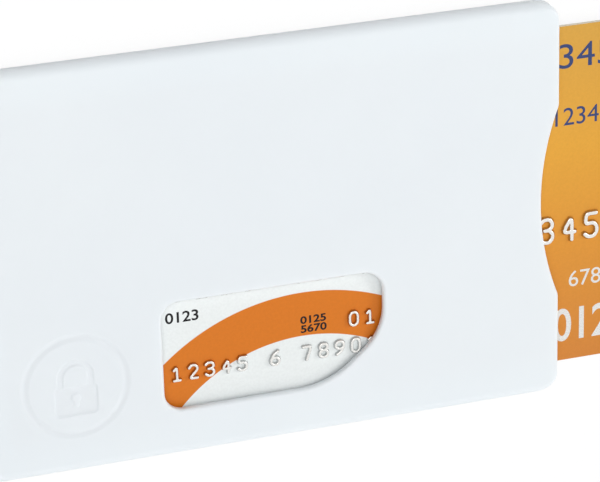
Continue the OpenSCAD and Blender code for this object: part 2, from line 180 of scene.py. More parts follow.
class CardSizes(bpy.types.PropertyGroup):
    """Sizes of what is raised and printed on the card"""
    emboss: length("Emboss height", "Height of the raised digits", 0.46)
    digit_height: length("Digit height", "Height of the large digits, between stroke middles", 3.75)
    digit_width: length("Digit width", "Width of the large digits, between stroke middles", 1.95)
    digit_pitch: length("Digit pitch", "Distance from one large digit to the next", 3.63)
    number_x: length("Number x", "Distance from the card's left edge to the first large digit", 10.84)
    number_y: length("Number y", "Distance from the card's lower edge to the large digits", 21.9)
    small_height: length("Small height", "Height of the small digits, between stroke middles", 2.1)
    small_width: length("Small width", "Width of the small digits, between stroke middles", 1.25)
    small_pitch: length("Small pitch", "Distance from one small digit to the next", 2.54)
    row_x: length("Row x", "Distance from the card's left edge to the first small digit", 10.19)
    row_y: length("Row y", "Distance from the card's lower edge to the small digits", 8.2)
    date_x: length("Date x", "Distance from the card's left edge to the date", 37.9)
    date_y: length("Date y", "Distance from the card's lower edge to the date", 12.6)
    tip_level: number("Tip level", "Share of a raised digit's height above which it is tipped", 0.84, 0, 1)
    ink: length("Ink", "Thickness of the printed ink", 0.008)


class ContactSizes(bpy.types.PropertyGroup):
    """Sizes of the contact pads and the antenna"""
    plate_corner: length("Plate corner", "Corner radius of the carrier", 1.5)
    rows: whole("Rows", "Number of pads in a column", 4)
    pad_length: length("Pad length", "Length of a pad", 3.95)
    pad_width: length("Pad width", "Width of a pad", 2.5)
    pad_pitch: length("Pad pitch", "Distance from one pad to the next in a column", 2.7)
    column_pitch: length("Column pitch", "Distance between the two columns", 7.9)
    pad_gap: length("Pad gap", "Distance from the columns to the middle pad", 0.2)
    pad_corner: length("Pad corner", "Corner radius of a pad", 0.45)
    pad_metal: length("Pad metal", "Thickness of the plated metal", 0.03)
    turns: whole("Turns", "Number of turns of the antenna", 4)
    coil_pitch: length("Coil pitch", "Distance between neighbouring turns", 0.8)
    coil_corner: length("Coil corner", "Corner radius of the turns", 0.3)
    track: length("Track", "Width of the antenna's track", 0.4)
    track_metal: length("Track metal", "Thickness of the antenna's track", 0.05)


class Finishes(bpy.types.PropertyGroup):
    """Colours of the sleeve and the card"""
    plastic: colour("Plastic", "Moulded plastic of the sleeve", (0.855, 0.908, 0.965))
    orange: colour("Orange", "Orange of the card's arch", (0.715, 0.195, 0.014))
    amber: colour("Amber", "Lightest tone of the card's ground", (0.79, 0.385, 0.045))
    amber_low: colour("Deep amber", "Tone of the ground at the card's lower edge", (0.66, 0.235, 0.04))
    white: colour("Card white", "White of the card", (0.86, 0.895, 0.89))
    # Cream plastic of the card's cut edge, also darkened as painted shade on that edge.
    core: colour("Card core", "Plastic that shows at the card's cut edge", (0.84, 0.76, 0.6))
    tip: colour("Tip", "Foil on top of the raised digits", (0.83, 0.82, 0.79))
    ink: colour("Ink", "Black printed digits", (0.012, 0.011, 0.013))
    blue: colour("Blue ink", "Blue printed digits", (0.045, 0.07, 0.19))
    white_ink: colour("White ink", "White printed digits", (0.8, 0.8, 0.77))


class StageSettings(bpy.types.PropertyGroup):
    """Camera and light"""
    lens: bpy.props.FloatProperty(
        name="Lens", description="Focal length of the camera", default=178.75, min=1, unit="CAMERA")
    rim: number("Rim light", "Brightness of the surrounding light at the horizon", 0.43)
    top: number("Top light", "How much brighter the surrounding light is overhead", 0.72)
    side: number("Side light", "How much darker the light is from above in the picture", 0.55)
    key: number("Key light", "Power of the light from the right, in watts", 1.6, 0, 100)
    fill: number("Fill light", "Power of the light from above the camera, in watts", 1.3, 0, 100)


GROUPS = {
    "cardsleeve_sizes": SleeveSizes,
    "cardsleeve_window": WindowSizes,
    "cardsleeve_badge": BadgeSizes,
    "cardsleeve_card": CardSizes,
    "cardsleeve_contacts": ContactSizes,
    "cardsleeve_finishes": Finishes,
    "cardsleeve_stage": StageSettings,
}


def chosen(name):
    """One of the groups of values above, as the scene holds it."""
    return getattr(bpy.context.scene, "cardsleeve_" + name)


# Outlines: lists of points that run anticlockwise

def arc(centre, radius, start, end, steps):
    """Points on an arc between two angles in degrees."""
    angles = [math.radians(start + (end - start) * k / steps) for k in range(steps + 1)]
    return [(centre[0] + radius * math.cos(a), centre[1] + radius * math.sin(a)) for a in angles]


def circle(centre, radius, steps):
    return arc(centre, radius, 0, 360, steps)[:-1]


def quarter_round(steps):
    """For points up a rounded edge of radius one, how far in and how far below the face each of them is."""
    angles = [math.pi / 2 * k / steps for k in range(steps + 1)]
    return [(1 - math.cos(a), 1 - math.sin(a)) for a in angles]


def each(value, loop):
    """The list itself, or the one value for each point of a loop."""
    return value if isinstance(value, (list, tuple)) else [value] * len(loop)


def outward(a, b):
    """Unit vector that points out of an anticlockwise outline at its edge from a to b."""
    span = math.hypot(b[0] - a[0], b[1] - a[1])
    return (b[1] - a[1]) / span, (a[0] - b[0]) / span


def mitres(loop):
    """For each corner, the vector that moves both its edges out by one."""
    found = []
    for i, corner in enumerate(loop):
        m = outward(loop[i - 1], corner)
        n = outward(corner, loop[(i + 1) % len(loop)])
        k = 1 + m[0] * n[0] + m[1] * n[1]
        found.append(((m[0] + n[0]) / k, (m[1] + n[1]) / k))
    return found


def grown(loop, by):
    """The outline moved out by one distance, or by one distance for each corner."""
    return [(p[0] + m[0] * d, p[1] + m[1] * d) for p, m, d in zip(loop, mitres(loop), each(by, loop))]


def rounded(corners, steps=10):
    """Outline of a convex polygon whose corners are given as x, y, radius."""
    loop = []
    for i, (x, y, r) in enumerate(corners):
        b = Vector((x, y))
        u = (Vector(corners[i - 1][:2]) - b).normalized()
        v = (Vector(corners[(i + 1) % len(corners)][:2]) - b).normalized()
        half = u.angle(v) / 2
        centre = b + (u + v).normalized() * r / math.sin(half)
        first = b + u * r / math.tan(half) - centre
        start = math.degrees(math.atan2(first.y, first.x))
        loop += arc(centre, r, start, start + 180 - 2 * math.degrees(half), steps)
    return loop


def rectangle(x0, y0, x1, y1, r, steps=8):
    """Outline of a rectangle with one corner radius."""
    return rounded([(x0, y0, r), (x1, y0, r), (x1, y1, r), (x0, y1, r)], steps)


# Meshes

def linked(name, data):
    """A new object of the scene."""
    obj = bpy.data.objects.new(name, data)
    bpy.context.scene.collection.objects.link(obj)
    return obj


def discard(objects):
    """Removes objects and their meshes."""
    for obj in list(objects):
        mesh = obj.data
        bpy.data.objects.remove(obj)
        bpy.data.meshes.remove(mesh)


def baked(obj):
    """A plain mesh of what the object's modifiers or letters give."""
    bpy.context.view_layer.update()
    graph = bpy.context.evaluated_depsgraph_get()
    return bpy.data.meshes.new_from_object(obj.evaluated_get(graph))


def settle(obj):
    """Turns what the modifiers give into the object's own mesh."""
    mesh = baked(obj)
    obj.modifiers.clear()
    old, obj.data = obj.data, mesh
    bpy.data.meshes.remove(old)
    if not mesh.polygons:
        raise RuntimeError(f"{obj.name} came out empty")


class Skin:
    """Points and faces of one closed surface."""

    def __init__(self):
        self.points, self.faces = [], []

    def ring(self, loop, z):
        """Adds a loop at one height, or at one height for each of its points."""
        start = len(self.points)
        self.points += [(p[0], p[1], h) for p, h in zip(loop, each(z, loop))]
        return list(range(start, start + len(loop)))

    def band(self, low, high):
        """Adds the faces between two rings that have as many points."""
        for i in range(len(low)):
            j = (i + 1) % len(low)
            self.faces.append((low[i], low[j], high[j], high[i]))

    def walls(self, loop, profile):
        """Bands through rings, each grown by a distance and lifted to a height."""
        rings = [self.ring(grown(loop, by), z) for by, z in profile]
        for low, high in zip(rings, rings[1:]):
            self.band(low, high)
        return rings

    def fill(self, outer, holes=()):
        """Flat triangles between one ring and the rings inside it."""
        rings = [outer, *holes]
        flat = [i for ring in rings for i in ring]
        found = tessellate_polygon([[Vector((*self.points[i][:2], 0)) for i in ring] for ring in rings])
        self.faces += [tuple(flat[k] for k in triangle) for triangle in found]

    def closed(self, loop, profile):
        """Walls that are filled at both their ends."""
        rings = self.walls(loop, profile)
        self.fill(rings[0])
        self.fill(rings[-1])
        return self

    def made(self, name):
        """An object of the surface, with doubles merged and its faces turned outwards."""
        near = 1e-8
        mesh = bpy.data.meshes.new(name)
        mesh.from_pydata(self.points, [], self.faces)
        work = bmesh.new()
        work.from_mesh(mesh)
        bmesh.ops.remove_doubles(work, verts=work.verts, dist=near)
        bmesh.ops.dissolve_degenerate(work, edges=work.edges, dist=near)
        bmesh.ops.recalc_face_normals(work, faces=work.faces)
        work.to_mesh(mesh)
        work.free()
        return linked(name, mesh)


def prism(name, outer, low, high, holes=()):
    """A straight solid between two heights, with straight holes."""
    skin = Skin()
    ends = [skin.walls(loop, [(0, low), (0, high)]) for loop in (outer, *holes)]
    for first, *others in zip(*ends):
        skin.fill(first, others)
    return skin.made(name)


def cut(obj, tools, operation="DIFFERENCE"):
    """Cuts the tools out of a solid, or joins them to it, and removes them."""
    for tool in tools:
        change = obj.modifiers.new("Cut", "BOOLEAN")
        change.operation, change.solver, change.object = operation, "EXACT", tool
    settle(obj)
    discard(tools)


def smooth(obj, weigh=True):
    """Smooth shading that keeps the edges at which the surface turns by 32 degrees or more."""
    limit = math.radians(32)
    work = bmesh.new()
    work.from_mesh(obj.data)
    bmesh.ops.remove_doubles(work, verts=work.verts, dist=2e-7)
    for face in work.faces:
        face.smooth = True
    for edge in work.edges:
        edge.smooth = edge.is_manifold and edge.calc_face_angle(math.pi) < limit
    work.to_mesh(obj.data)
    work.free()
    if weigh:
        change = obj.modifiers.new("Weigh", "WEIGHTED_NORMAL")
        change.keep_sharp, change.weight = True, 100
        settle(obj)


def paint(obj, material):
    """Gives an object its material, and the slot that its finish comes from."""
    obj.data.materials.clear()
    obj.data.materials.append(material)


def place(obj, body, slot, material, *nodes):
    """Gives a finished piece its body and its finish, and hides the nodes that it stands for."""
    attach(obj, body)
    paint(obj, material)
    if nodes:
        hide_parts(*nodes)


# Node trees

class Wiring:
    """Adds nodes to one tree and links them."""

    def __init__(self, tree):
        self.tree = tree

    def feed(self, socket, value):
        """Links a socket to another or to a node's first output, or else sets its own value."""
        if isinstance(value, bpy.types.Node):
            value = value.outputs[0]
        if isinstance(value, bpy.types.NodeSocket):
            self.tree.links.new(value, socket)
        else:
            socket.default_value = value

    def node(self, kind, links=None, **settings):
        """A new node with its settings, and what each of its sockets is fed."""
        made = self.tree.nodes.new(kind)
        for key, value in settings.items():
            setattr(made, key, value)
        for key, value in (links or {}).items():
            self.feed(made.inputs[key], value)
        return made

    def math(self, operation, *numbers, clamp=False):
        return self.node("ShaderNodeMath", dict(enumerate(numbers)), operation=operation, use_clamp=clamp)

    def remap(self, value, low, high, to_low=0.0, to_high=1.0, soft=False):
        """One range turned into another, along a straight or a soft slope."""
        return self.node("ShaderNodeMapRange", dict(enumerate((value, low, high, to_low, to_high))),
                         interpolation_type="SMOOTHSTEP" if soft else "LINEAR")


class NodeTree(Wiring):
    """Builds one tree of geometry nodes with named inputs and a material."""

    def __init__(self, name, **inputs):
        super().__init__(bpy.data.node_groups.new(name, "GeometryNodeTree"))
        face = self.tree.interface
        face.new_socket("Geometry", in_out="INPUT", socket_type="NodeSocketGeometry")
        face.new_socket("Geometry", in_out="OUTPUT", socket_type="NodeSocketGeometry")
        self.keys = {}
        for label, kind in {**inputs, "Material": "Material"}.items():
            socket = face.new_socket(label.replace("_", " "), in_out="INPUT", socket_type="NodeSocket" + kind)
            self.keys[label] = socket.identifier
        self.given = self.node("NodeGroupInput").outputs
        self.end = self.node("NodeGroupOutput")

    def joined(self, *parts):
        made = self.node("GeometryNodeJoinGeometry")
        for part in parts:
            self.feed(made.inputs[0], part)
        return made

    def finish(self, geometry):
        """Ends the tree with real geometry that has its material."""
        real = self.node("GeometryNodeRealizeInstances", {"Geometry": geometry})
        painted = self.node("GeometryNodeSetMaterial", {"Geometry": real, "Material": self.given["Material"]})
        self.feed(self.end.inputs[0], painted)
        return self

    def run(self, obj, **values):
        """Gives the object what the tree makes of it, as a plain mesh."""
        change = obj.modifiers.new("Nodes", "NODES")
        change.node_group = self.tree
        for label, value in values.items():
            change[self.keys[label]] = value
        settle(obj)


# Materials

class Recipe(Wiring):
    """Builds one material's nodes. The lengths of its methods are in millimetres."""

    def __init__(self, name, **sockets):
        material = bpy.data.materials.new(name)
        material.use_nodes = True
        super().__init__(material.node_tree)
        self.shader = self.tree.nodes["Principled BSDF"]
        for key, value in sockets.items():
            self.shader.inputs[key.replace("_", " ")].default_value = value
        self.spot = self.node("ShaderNodeTexCoord").outputs["Object"]
        self.x, self.y, self.z = self.node("ShaderNodeSeparateXYZ", {0: self.spot}).outputs

    def noise(self, scale, detail=2.0, roughness=0.5, stretch=None):
        """A noise of so many waves to a metre, or to a metre on each axis."""
        spot = self.spot
        if stretch:
            spot = self.node("ShaderNodeMapping", {"Vector": spot, "Scale": stretch})
        return self.node("ShaderNodeTexNoise", {
            "Vector": spot, "Scale": scale, "Detail": detail, "Roughness": roughness})

    def spread(self, noise, low, high):
        """The usual range of a noise, turned into another."""
        return self.remap(noise, 0.3, 0.7, low, high)

    def mix(self, share, first, second, blend="MIX"):
        links = {0: share, 6: first, 7: second}
        return self.node("ShaderNodeMix", links, data_type="RGBA", blend_type=blend).outputs[2]

    def scaled(self, colour, factor):
        grey = self.node("ShaderNodeCombineColor", {0: factor, 1: factor, 2: factor})
        return self.mix(1.0, colour, grey, "MULTIPLY")

    def within(self, x, y, *radii):
        """For each radius, one inside it and zero outside, round a point from the card's lower left corner."""
        sides = [self.math("SUBTRACT", self.x, CARD[0].x + x * MM),
                 self.math("SUBTRACT", self.y, CARD[0].y + y * MM)]
        far = self.math("SQRT", self.math("ADD", *(self.math("MULTIPLY", side, side) for side in sides)))
        edge = 0.04 * MM
        return [self.remap(far, r * MM - edge, r * MM + edge, 1.0, 0.0) for r in radii]

    def bump(self, height, depth, onto=None):
        """Relief of a depth, on top of another relief where one is given."""
        links = {"Distance": depth * MM, "Height": height}
        if onto:
            links["Normal"] = onto
        return self.node("ShaderNodeBump", links)

    def finish(self, colour, roughness=None, normal=None, metallic=None):
        for key, value in (("Base Color", colour), ("Roughness", roughness), ("Normal", normal),
                           ("Metallic", metallic)):
            if value is not None:
                self.feed(self.shader.inputs[key], value)

    def grained(self, colour, grain, tones, roughness, relief=None, span=(0.3, 0.7)):
        """A finish whose tone, roughness and relief all follow one noise."""
        self.finish(self.scaled(rgba(colour), self.remap(grain, *span, *tones)),
                    self.spread(grain, *roughness), self.bump(grain, relief) if relief else None)


def rgba(colour):
    return (*colour, 1.0)


def recipe(name, **sockets):
    """Makes a function that fills in a recipe into one that gives the material, which is made once."""
    def decorate(fill_in):
        @functools.wraps(fill_in)
        def material():
            if name not in bpy.data.materials:
                fill_in(Recipe(name, **sockets))
            return bpy.data.materials[name]
        return material
    return decorate


@recipe("moulded_white_plastic", Subsurface_Weight=0.5, Subsurface_Radius=(1.0, 1.0, 1.0),
        Subsurface_Scale=0.8 * MM, IOR=1.49)
def moulded_plastic(r):
    """White plastic with a fine satin grain and the faint waves of a moulded wall."""
    clouds = r.spread(r.noise(28.0), 0.985, 1.01)
    waves = r.bump(r.noise(55.0, 1.0), 0.35)
    grain = r.bump(r.noise(5200.0, 2.0, 0.6), 0.004, waves)
    gloss = r.spread(r.noise(900.0, 3.0), 0.34, 0.42)
    r.finish(r.scaled(rgba(chosen("finishes").plastic), clouds), gloss, grain)


# Shapes printed on the card: the centre from its lower left corner, and the radii, in millimetres
DISC = (20, -20, 50)
ARCH = (30, -15, 26, 33)
FOOT = (60, -30, 44)


def paper_grain(r, art):
    """The faint unevenness of print on a sheet."""
    return r.scaled(art, r.spread(r.noise(2600.0), 0.97, 1.02))


def card_art(r):
    """Colour of the card's front: an amber ground, a white disc and an orange arch."""
    look = chosen("finishes")
    up = r.math("DIVIDE", r.math("SUBTRACT", r.y, CARD[0].y), CARD[1].y - CARD[0].y)
    ground = r.node("ShaderNodeValToRGB", {0: up})
    ramp = ground.color_ramp.elements
    ramp.remove(ramp[1])
    ramp[0].position, ramp[0].color = 0.0, rgba(look.amber_low)
    for spot, tone in ((0.35, (0.745, 0.305, 0.037)), (0.65, look.amber), (1.0, (0.7, 0.375, 0.062))):
        ramp.new(spot).color = rgba(tone)
    disc, = r.within(*DISC)
    inner, outer = r.within(*ARCH)
    colour = r.mix(disc, ground, rgba(look.white))
    colour = r.mix(r.math("SUBTRACT", outer, inner, clamp=True), colour, rgba(look.orange))
    return paper_grain(r, colour)


def laminate(r, art, detail):
    """Laminated print on the card's flat faces, and on the cut edge its cream plastic, toned darker as painted
    shade.
    """
    normal = r.node("ShaderNodeNewGeometry").outputs["Normal"]
    level = r.math("ABSOLUTE", r.node("ShaderNodeSeparateXYZ", {0: normal}).outputs[2])
    # The cut edge takes the core colour, which is cream plastic with painted shade in it.
    colour = r.mix(r.remap(level, 0.3, 0.5), rgba(chosen("finishes").core), art)
    r.finish(colour, r.spread(r.noise(700.0, detail), 0.3, 0.4), r.bump(r.noise(420.0), 0.012))


@recipe("printed_card_front", Specular_IOR_Level=0.2, IOR=1.5)
def card_front(r):
    """Printed and laminated face of the card."""
    laminate(r, card_art(r), 3.0)


@recipe("printed_card_back", Specular_IOR_Level=0.2, IOR=1.5)
def card_back_print(r):
    """Pale back of the card with an amber foot."""
    foot, = r.within(*FOOT)
    art = r.mix(foot, (0.8, 0.74, 0.62, 1), rgba(chosen("finishes").amber))
    laminate(r, paper_grain(r, art), 2.0)


@recipe("tipped_digits", Specular_IOR_Level=0.35, IOR=1.5)
def raised_print(r):
    """The card's print drawn up over a raised digit: painted shade darkens it on its flanks, with worn foil on
    its crest.
    """
    card, foot = chosen("card"), CARD[1].z
    level, edge = foot + card.emboss * card.tip_level, 0.02 * MM
    height = r.math("ADD", r.z, r.spread(r.noise(4200.0, 3.0), -0.05 * MM, 0.05 * MM))
    tip = r.remap(height, level - edge, level + edge)
    # Painted shade: the print darkens from a digit's foot to 0.58 at 30 per cent of its height and stays so up
    # to the foil, in place of the shade on its flanks.
    flank_painted_shade = r.remap(height, foot, foot + 0.3 * card.emboss, 1.0, 0.58, soft=True)
    colour = r.mix(tip, r.scaled(card_art(r), flank_painted_shade), rgba(chosen("finishes").tip))
    r.finish(colour, r.spread(r.noise(900.0), 0.22, 0.34), metallic=r.math("MULTIPLY", tip, 0.75))


@recipe("woven_carrier", Roughness=0.5, IOR=1.5)
def carrier_laminate(r):
    """Dark woven carrier that shows between the contact pads."""
    threads = 20000.0
    weave = r.math("MULTIPLY", *(r.math("SINE", r.math("MULTIPLY", axis, threads)) for axis in (r.x, r.y)))
    r.finish(r.scaled((0.05, 0.06, 0.035, 1), r.remap(weave, -1.0, 1.0, 0.8, 1.2)), None, r.bump(weave, 0.004))


@recipe("rolled_foil", Metallic=1.0)
def shield_foil(r):
    """Rolled metal sheet with fine lines along its length."""
    r.grained((0.72, 0.73, 0.75), r.noise(1.0, 4.0, 0.7, (60, 6000, 6000)), (0.9, 1.05), (0.22, 0.4), 0.004)


@recipe("contact_gold", Metallic=1.0)
def contact_gold(r):
    """Gold plating with a faint brushed grain."""
    r.grained((0.9, 0.62, 0.24), r.noise(1.0, 3.0, 0.6, (5000, 400, 400)), (0.93, 1.04), (0.2, 0.32), 0.003)


@recipe("etched_copper", Metallic=1.0)
def coil_copper(r):
    """Copper track with the fine pitting of its etching."""
    r.grained((0.82, 0.4, 0.25), r.noise(2500.0, 3.0), (0.85, 1.05), (0.3, 0.45), 0.004)


@recipe("cast_resin", IOR=1.55)
def capsule_resin(r):
    """Dark cast resin with a slightly uneven skin."""
    r.grained((0.022, 0.022, 0.025), r.noise(3000.0, 3.0), (0.8, 1.2), (0.35, 0.5), 0.006)


@recipe("magnetic_coating", IOR=1.5)
def stripe_coating(r):
    """Dark magnetic coating with fine scuffs from use."""
    scuffs = r.noise(1.0, 5.0, 0.7, (90, 3500, 900))
    r.grained((0.02, 0.016, 0.014), scuffs, (0.8, 1.9), (0.25, 0.45), 0.003, span=(0.35, 0.75))


@recipe("writing_surface", Roughness=0.75, IOR=1.45)
def panel_coating(r):
    """Matt writing surface with fine slanted lines."""
    slant = r.math("ADD", r.x, r.math("MULTIPLY", r.y, 0.6))
    lines = r.math("PINGPONG", slant, 0.35 * MM)
    shade = r.remap(lines, 0.05 * MM, 0.1 * MM, 0.9, 1.0)
    r.finish(r.scaled((0.82, 0.82, 0.79, 1), shade), None, r.bump(r.noise(3500.0, 3.0), 0.012))


def printed_ink(which):
    """The ink of one of the colours among the finishes."""
    @recipe("printed_" + which, IOR=1.5, Specular_IOR_Level=0.2)
    def ink(r):
        r.grained(getattr(chosen("finishes"), which), r.noise(5000.0), (0.85, 1.1), (0.3, 0.45))
    return ink()


# Sleeve

def sleeve_outline():
    """The sleeve's outline, and for each point the share of the side's edge radius that it takes."""
    s = chosen("sizes")
    x, y, r = FRONT[1].x, FRONT[1].y, s.corner
    blend, radius = s.notch_blend, s.notch_radius
    centre = x - s.notch_depth + radius
    reach = centre - x + blend
    rise = math.sqrt((radius + blend) ** 2 - reach ** 2)
    turn = math.degrees(math.atan2(rise, reach))
    corner_steps, blend_steps, notch_steps = 20, 8, 56
    loop, share = [], []

    def add(points, start, end):
        for k, point in enumerate(points):
            t = k / (len(points) - 1)
            loop.append(point)
            share.append(start + (end - start) * t * t * (3 - 2 * t))

    add(arc((-x + r, -y + r), r, 180, 270, corner_steps), 1, 1)
    add(arc((x - r, -y + r), r, 270, 360, corner_steps), 1, 0)
    add(arc((x - blend, -rise), blend, 0, turn, blend_steps), 0, 0)
    add(arc((centre, 0), radius, 180 + turn, 180 - turn, notch_steps)[1:-1], 0, 0)
    add(arc((x - blend, rise), blend, -turn, 0, blend_steps), 0, 0)
    add(arc((x - r, y - r), r, 0, 90, corner_steps), 0, 1)
    add(arc((-x + r, y - r), r, 90, 180, corner_steps), 1, 1)
    return loop, share


def edge_profile(share, face, split):
    """Growth and height of each ring from the joint to the face, with a rounded edge."""
    s = chosen("sizes")
    up = 1 if face > split else -1
    radii = [s.mouth_edge + (s.side_edge - s.mouth_edge) * k for k in share]
    rings = [(-s.seam, split), (0.0, split + up * s.seam)]
    for inward, below in quarter_round(14):
        rings.append(([-e * inward for e in radii], [face - up * e * below for e in radii]))
    return rings


def window_outline():
    """The window's outline: square at the left, with a sweep at its lower right end."""
    w = chosen("window")
    left, low = FRONT[0].x + w.from_end, FRONT[0].y + w.from_side
    right, high = left + w.run, low + w.rise
    return rounded([
        (left, low, w.corner),
        (right - w.sweep_run, low, w.sweep_lower),
        (right, low + w.sweep_rise, w.sweep_upper),
        (right, high, w.top),
        (left, high, w.corner),
    ], 14)


def notch_side(radius_growth, edge_x):
    """Points on a widened notch up to a line across the mouth, from low to high."""
    s = chosen("sizes")
    radius = s.notch_radius + radius_growth
    centre = FRONT[1].x - s.notch_depth + s.notch_radius
    turn = math.degrees(math.acos((centre - edge_x) / radius))
    return arc((centre, 0), radius, 180 + turn, 180 - turn, 40)


def shield_outline(growth):
    """Outline of a shield, grown by a clearance, with its arc round the notch."""
    s = chosen("sizes")
    half = FRONT[1].y - s.rim - s.rail_width - s.shield_margin + growth
    left = FRONT[0].x + s.end_rim + s.shield_margin - growth
    right = FRONT[1].x - s.shield_edge + growth
    notch = notch_side(s.shield_edge - growth, right)
    return [(left, half), (left, -half), (right, -half), *notch, (right, half)]


def pin_places():
    """Centres of the six locating pins."""
    s = chosen("sizes")
    y = FRONT[1].y - s.rim + s.pin_from_pocket
    end = FRONT[1].x - s.pin_from_end
    return [(x, side * y) for x in (-end, 0, end) for side in (-1, 1)]


def pocket_tool(split, stop):
    """The pocket's space on one side of the joint, with its fillet at the wall."""
    s = chosen("sizes")
    up = 1 if stop > split else -1
    half = FRONT[1].y - s.rim
    left, right = FRONT[0].x + s.end_rim, FRONT[1].x + 3 * PAST
    loop = rounded([(left, -half, s.pocket_corner), (right, -half, PAST), (right, half, PAST),
                    (left, half, s.pocket_corner)])
    fillet = s.pocket_fillet
    rings = [(-fillet * inward, stop - up * fillet * below) for inward, below in quarter_round(5)]
    return Skin().closed(loop, [(0, split - up * PAST), *rings]).made("pocket_tool")


def lead_in_tool(wall, up):
    """Wedge that widens the mouth of the pocket against one wall."""
    s = chosen("sizes")
    half, x = FRONT[1].y - s.rim - s.pocket_fillet, FRONT[1].x
    side = [(-s.lead_in, 0), (-s.lead_in, -s.lead_in), (PAST, -s.lead_in), (PAST, PAST + s.lead_in)]
    skin = Skin()
    ends = []
    for y in (-half, half):
        start = len(skin.points)
        skin.points += [(x + dx, y, wall + up * dz) for dx, dz in side]
        ends.append(list(range(start, start + len(side))))
    skin.band(*ends)
    skin.faces += ends
    return skin.made("lead_in_tool")


def soft_step(width, height):
    """Growth and height of the rings on a rounded step, from its start to its end."""
    steps = 5
    return [(-width * k / steps, height * (math.sin(math.pi * (k / steps - 0.5)) + 1) / 2)
            for k in range(steps + 1)]


def add_badge(skin, face):
    """Sinks the ring and the padlock into the face, and returns the ring that bounds them."""
    b = chosen("badge")
    cx, cy = FRONT[0].x + b.from_end, FRONT[0].y + b.from_side
    across = [1 - k / 8 for k in range(17)]
    groove = [(b.groove * t, face - b.depth * (1 + math.cos(math.pi * t)) / 2) for t in across]
    rings = skin.walls(circle((cx, cy), b.ring, 128), groove)
    out, w, h = b.lock_width / 2 - b.shackle / 2, b.lock_width / 2, b.lock_height
    top, r = cy, b.lock_corner
    lean = math.degrees(math.acos((out - w + r) / r))
    outline = [
        *arc((cx - w + r, top - h + r), r, 180, 270, 8), *arc((cx + w - r, top - h + r), r, 270, 360, 8),
        *arc((cx + w - r, top - r), r, 0, lean, 6), *arc((cx, top + b.shackle_leg), out, 0, 180, 24),
        *arc((cx - w + r, top - r), r, 180 - lean, 180, 6),
    ]
    inner = arc((cx, top + b.shackle_leg), out - b.shackle, 0, 180, 20)
    gap = [(cx - out + b.shackle, top), (cx + out - b.shackle, top)] + inner
    eye_y = top - h / 2 + (b.keyhole_slot - b.keyhole) / 2
    slot = b.keyhole / 2
    eye_turn = math.degrees(math.asin(slot / b.keyhole))
    eye = arc((cx, eye_y), b.keyhole, -90 + eye_turn, 270 - eye_turn, 24)
    eye += [(cx - slot, eye_y - b.keyhole_slot), (cx + slot, eye_y - b.keyhole_slot)]
    step = soft_step(b.soft, -b.depth)
    walls = skin.walls(grown(outline, b.soft / 2), [(by, face + z) for by, z in step])
    holes = []
    for loop in (gap, eye):
        down = skin.walls(grown(loop, -b.soft / 2), [(-by, face + z) for by, z in step])
        skin.fill(down[0])
        holes.append(down[-1])
    skin.fill(walls[-1], holes)
    skin.fill(rings[-1], [walls[0]])
    return rings[0]


def build_front_shell():
    """The front moulding: outside, window and badge in one skin, with the pocket cut out of it."""
    s, w = chosen("sizes"), chosen("window")
    split, face = FRONT[0].z, FRONT[1].z
    ceiling = face - s.wall
    loop, share = sleeve_outline()
    window = window_outline()
    skin = Skin()
    outer = skin.walls(loop, edge_profile(share, face, split))
    lip = [(w.lip * inward, face - w.lip * below) for inward, below in quarter_round(8)]
    rim = skin.walls(window, [(0, split), *lip])
    ring = add_badge(skin, face)
    skin.fill(outer[-1], [rim[-1], ring])
    skin.fill(outer[0], [rim[0]])
    shell = skin.made("front_moulding")
    tools = [
        pocket_tool(split, ceiling),
        lead_in_tool(ceiling, 1),
        prism("recess_tool", shield_outline(s.shield_gap), ceiling - BEDDED, ceiling + s.recess,
              [grown(window, s.shield_edge - s.shield_gap)]),
    ]
    for spot in pin_places():
        tools.append(prism("pin_tool", circle(spot, s.pin + s.pin_gap, 32), split - PAST,
                           split + s.pin_height + s.pin_gap))
    cut(shell, tools)
    smooth(shell)
    place(shell, "sleeve", "sleeve_plastic", moulded_plastic(), "front_shell")


def build_back_shell():
    """The back moulding: its outside, with the pocket cut out and the rails and pins joined on."""
    s = chosen("sizes")
    split, face = FRONT[0].z, BACK[0].z
    floor = face + s.wall
    loop, share = sleeve_outline()
    skin = Skin()
    outer = skin.walls(loop, edge_profile(share, face, split))
    skin.fill(outer[-1])
    skin.fill(outer[0])
    shell = skin.made("back_moulding")
    cut(shell, [
        pocket_tool(split, floor),
        lead_in_tool(floor, -1),
        prism("recess_tool", shield_outline(s.shield_gap), floor - s.recess, floor + BEDDED),
    ])

    def post(name, loop, low, high, bevel):
        """A solid that is joined to the moulding, bevelled at its top."""
        return Skin().closed(loop, [(0, low - BEDDED), (0, high - bevel), (-bevel, high)]).made(name)

    left, right = FRONT[0].x + s.end_rim - BEDDED, FRONT[1].x - s.notch_depth - s.rail_stop
    near, far = FRONT[1].y - s.rim - s.rail_width, FRONT[1].y - s.rim + BEDDED
    added = []
    for side in (-1, 1):
        low, high = sorted((side * near, side * far))
        added.append(post("rail", rectangle(left, low, right, high, 0.25 * MM, 6), floor, floor + s.rail_height,
                          0.05 * MM))
    for spot in pin_places():
        added.append(post("pin", circle(spot, s.pin, 32), split, split + s.pin_height, 0.15 * MM))
    cut(shell, added, "UNION")
    smooth(shell)
    place(shell, "sleeve", "sleeve_plastic", moulded_plastic(), "back_shell")


# Chip and antenna

